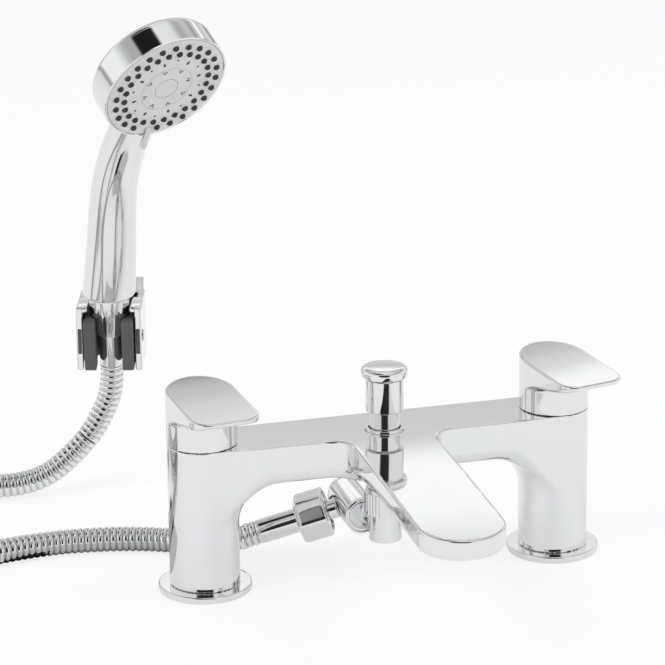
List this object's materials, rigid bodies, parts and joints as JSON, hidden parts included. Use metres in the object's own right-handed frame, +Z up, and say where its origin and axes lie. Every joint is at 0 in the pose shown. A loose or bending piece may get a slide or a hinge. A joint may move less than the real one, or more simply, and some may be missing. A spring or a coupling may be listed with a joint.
{
  "type": "bath shower mixer",
  "caption": "Deck-mounted bath mixer on two columns with quarter-turn levers, pull-up diverter, fixed spout, ribbed shower hose, handset and wall bracket.",
  "frame": {"origin": "on the deck, midway between the two columns", "axes": "+Z up, +X along the bridge to the cold side, the spout points to -Y"},
  "size_m": [0.484, 0.3395, 0.3337],
  "materials": {
    "chrome": "polished chrome plate on brass",
    "plated_plastic": "polished chrome plate on moulded plastic",
    "hose_steel": "bright ribbed metal hose",
    "brass": "turned brass",
    "steel": "plain steel",
    "seal": "black sealing rubber",
    "ceramic": null,
    "white_plastic": "moulded plastic",
    "pale_plastic": "pale grey moulded plastic",
    "dark_plastic": "dark grey moulded plastic",
    "red_plastic": "red plastic",
    "blue_plastic": "blue plastic"
  },
  "bodies": {
    "mixer": {"mixer_body": "chrome", "hot_flange": "chrome", "cold_flange": "chrome", "hot_base_seal": "seal", "cold_base_seal": "seal", "hot_tail": "brass", "cold_tail": "brass", "fixing_washers": "white_plastic", "backnuts": "brass", "hot_cartridge": "brass", "cold_cartridge": "brass", "hot_fixed_disc": "ceramic", "cold_fixed_disc": "ceramic", "aerator_housing": "chrome", "aerator_insert": "white_plastic", "diverter_collar": "chrome", "diverter_o_ring": "seal", "outlet_locknut": "chrome", "outlet_elbow": "chrome", "check_valve": "white_plastic", "elbow_cap": "chrome", "hose_nut": "chrome", "hose_washer": "seal", "hose_ferrule": "chrome", "hose_run": "hose_steel", "hose_coil": "hose_steel", "hose_tie": "dark_plastic", "handset_run": "hose_steel", "bracket_fork": "plated_plastic", "wall_plate": "plated_plastic", "pivot_pins": "steel", "wall_screws": "steel"},
    "hot_lever": {"hot_lever": "chrome", "hot_spindle": "brass", "hot_moving_disc": "ceramic", "hot_grub_screw": "steel", "hot_index": "red_plastic"},
    "cold_lever": {"cold_lever": "chrome", "cold_spindle": "brass", "cold_moving_disc": "ceramic", "cold_grub_screw": "steel", "cold_index": "blue_plastic"},
    "diverter": {"diverter_knob": "chrome", "diverter_rod": "brass", "diverter_valve": "seal"},
    "cradle": {"cradle": "dark_plastic"},
    "hose_end": {"cone_ferrule": "chrome"},
    "handset": {"cone_nut": "chrome", "cone_washer": "seal", "inlet_spigot": "white_plastic", "handset_shell": "plated_plastic", "distributor": "white_plastic"},
    "spray_face": {"spray_face": "pale_plastic", "spray_nozzles": "seal", "face_cap": "plated_plastic"}
  },
  "joints": [
    {"name": "hot_lever_turn", "type": "hinge", "parent": "mixer", "child": "hot_lever", "pos_m": [-0.09, 0, 0.0765], "axis": [0, 0, 1], "range_deg": [-90, 0]},
    {"name": "cold_lever_turn", "type": "hinge", "parent": "mixer", "child": "cold_lever", "pos_m": [0.09, 0, 0.0765], "axis": [0, 0, 1], "range_deg": [0, 90]},
    {"name": "diverter_lift", "type": "slide", "parent": "mixer", "child": "diverter", "axis": [0, 0, 1], "range_m": [0, 0.0075]},
    {"name": "cradle_tilt", "type": "hinge", "parent": "mixer", "child": "cradle", "pos_m": [-0.105, 0.14, 0.0877], "axis": [0.9563, -0.2924, 0], "range_deg": [-12, 12], "deforming": ["handset_run"]},
    {"name": "handset_lift", "type": "slide", "parent": "cradle", "child": "hose_end", "axis": [-0.0407, -0.1331, 0.9903], "range_m": [0, 0.025], "deforming": ["handset_run"]},
    {"name": "handset_swivel", "type": "hinge", "parent": "hose_end", "child": "handset", "pos_m": [-0.105, 0.14, 0.0877], "axis": [-0.0407, -0.1331, 0.9903], "range_deg": [-75, 45]},
    {"name": "spray_dial", "type": "hinge", "parent": "handset", "child": "spray_face", "pos_m": [-0.0926, 0.04824, 0.24149], "axis": [0.2533, -0.8074, -0.5328], "range_deg": [-24, 24]}
  ]
}
